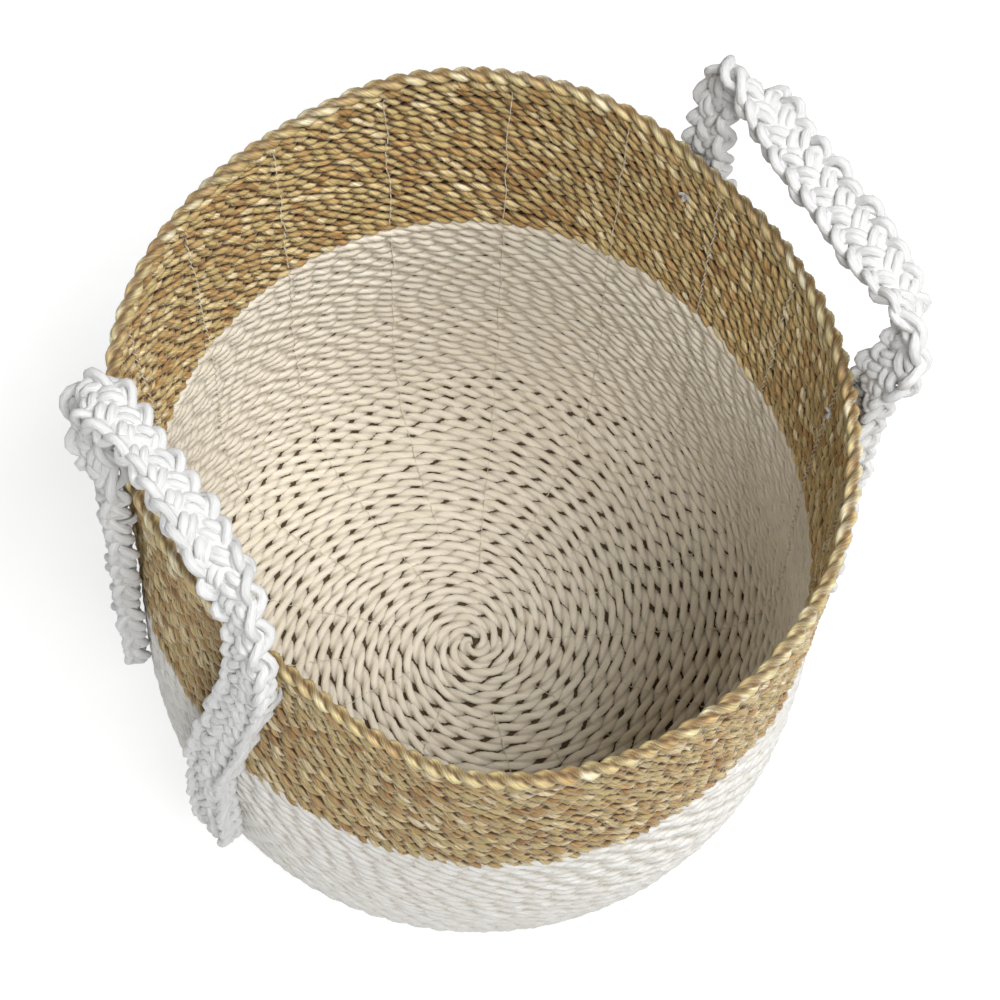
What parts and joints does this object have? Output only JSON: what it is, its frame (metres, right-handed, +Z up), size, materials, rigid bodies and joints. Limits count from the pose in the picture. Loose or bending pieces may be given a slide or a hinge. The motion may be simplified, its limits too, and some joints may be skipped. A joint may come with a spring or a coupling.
{
  "type": "storage basket",
  "caption": "Round coiled-rope storage basket with a pale rope floor and lower wall, a seagrass upper wall and rim, and braided cotton handles that swing.",
  "frame": {"origin": "centre of the floor's underside, at the level the basket stands on", "axes": "+Z up out of the open top; +X towards the right-hand handle; +Y towards the rear ends of both handles"},
  "size_m": [0.3555, 0.3411, 0.3436],
  "materials": {
    "paper_rope": "matt twisted paper rope",
    "seagrass": "satin twisted seagrass rope",
    "rim_seagrass": "satin thicker seagrass rope",
    "cotton": "soft matt cotton cord braid",
    "thread": "thin waxed sewing thread"
  },
  "bodies": {
    "basket_body": {"floor_coil": "paper_rope", "lower_wall": "paper_rope", "upper_wall": "seagrass", "rim_coil": "rim_seagrass", "stitch_thread_01": "thread", "stitch_thread_02": "thread", "stitch_thread_03": "thread", "stitch_thread_04": "thread", "stitch_thread_05": "thread", "stitch_thread_06": "thread", "stitch_thread_07": "thread", "stitch_thread_08": "thread", "stitch_thread_09": "thread", "stitch_thread_10": "thread", "stitch_thread_11": "thread", "stitch_thread_12": "thread", "stitch_thread_13": "thread", "stitch_thread_14": "thread", "stitch_thread_15": "thread", "stitch_thread_16": "thread", "stitch_thread_17": "thread", "stitch_thread_18": "thread", "right_rear_leg": "cotton", "right_front_leg": "cotton", "left_rear_leg": "cotton", "left_front_leg": "cotton", "right_rear_lashing": "cotton", "right_front_lashing": "rim_seagrass", "left_rear_lashing": "cotton", "left_front_lashing": "cotton", "right_rear_knot": "cotton", "right_front_knot": "cotton", "left_rear_knot": "cotton", "left_front_knot": "cotton"},
    "right_handle": {"right_grip": "cotton"},
    "left_handle": {"left_grip": "cotton"}
  },
  "joints": [
    {"name": "right_handle_swing", "type": "hinge", "parent": "basket_body", "child": "right_handle", "pos_m": [0.15194, -0.00005, 0.294], "axis": [-0.0016, 1, 0], "range_deg": [-82, 98]},
    {"name": "left_handle_swing", "type": "hinge", "parent": "basket_body", "child": "left_handle", "pos_m": [-0.15044, -0.0092, 0.294], "axis": [0.1388, -0.9903, 0], "range_deg": [-40, 140]}
  ]
}
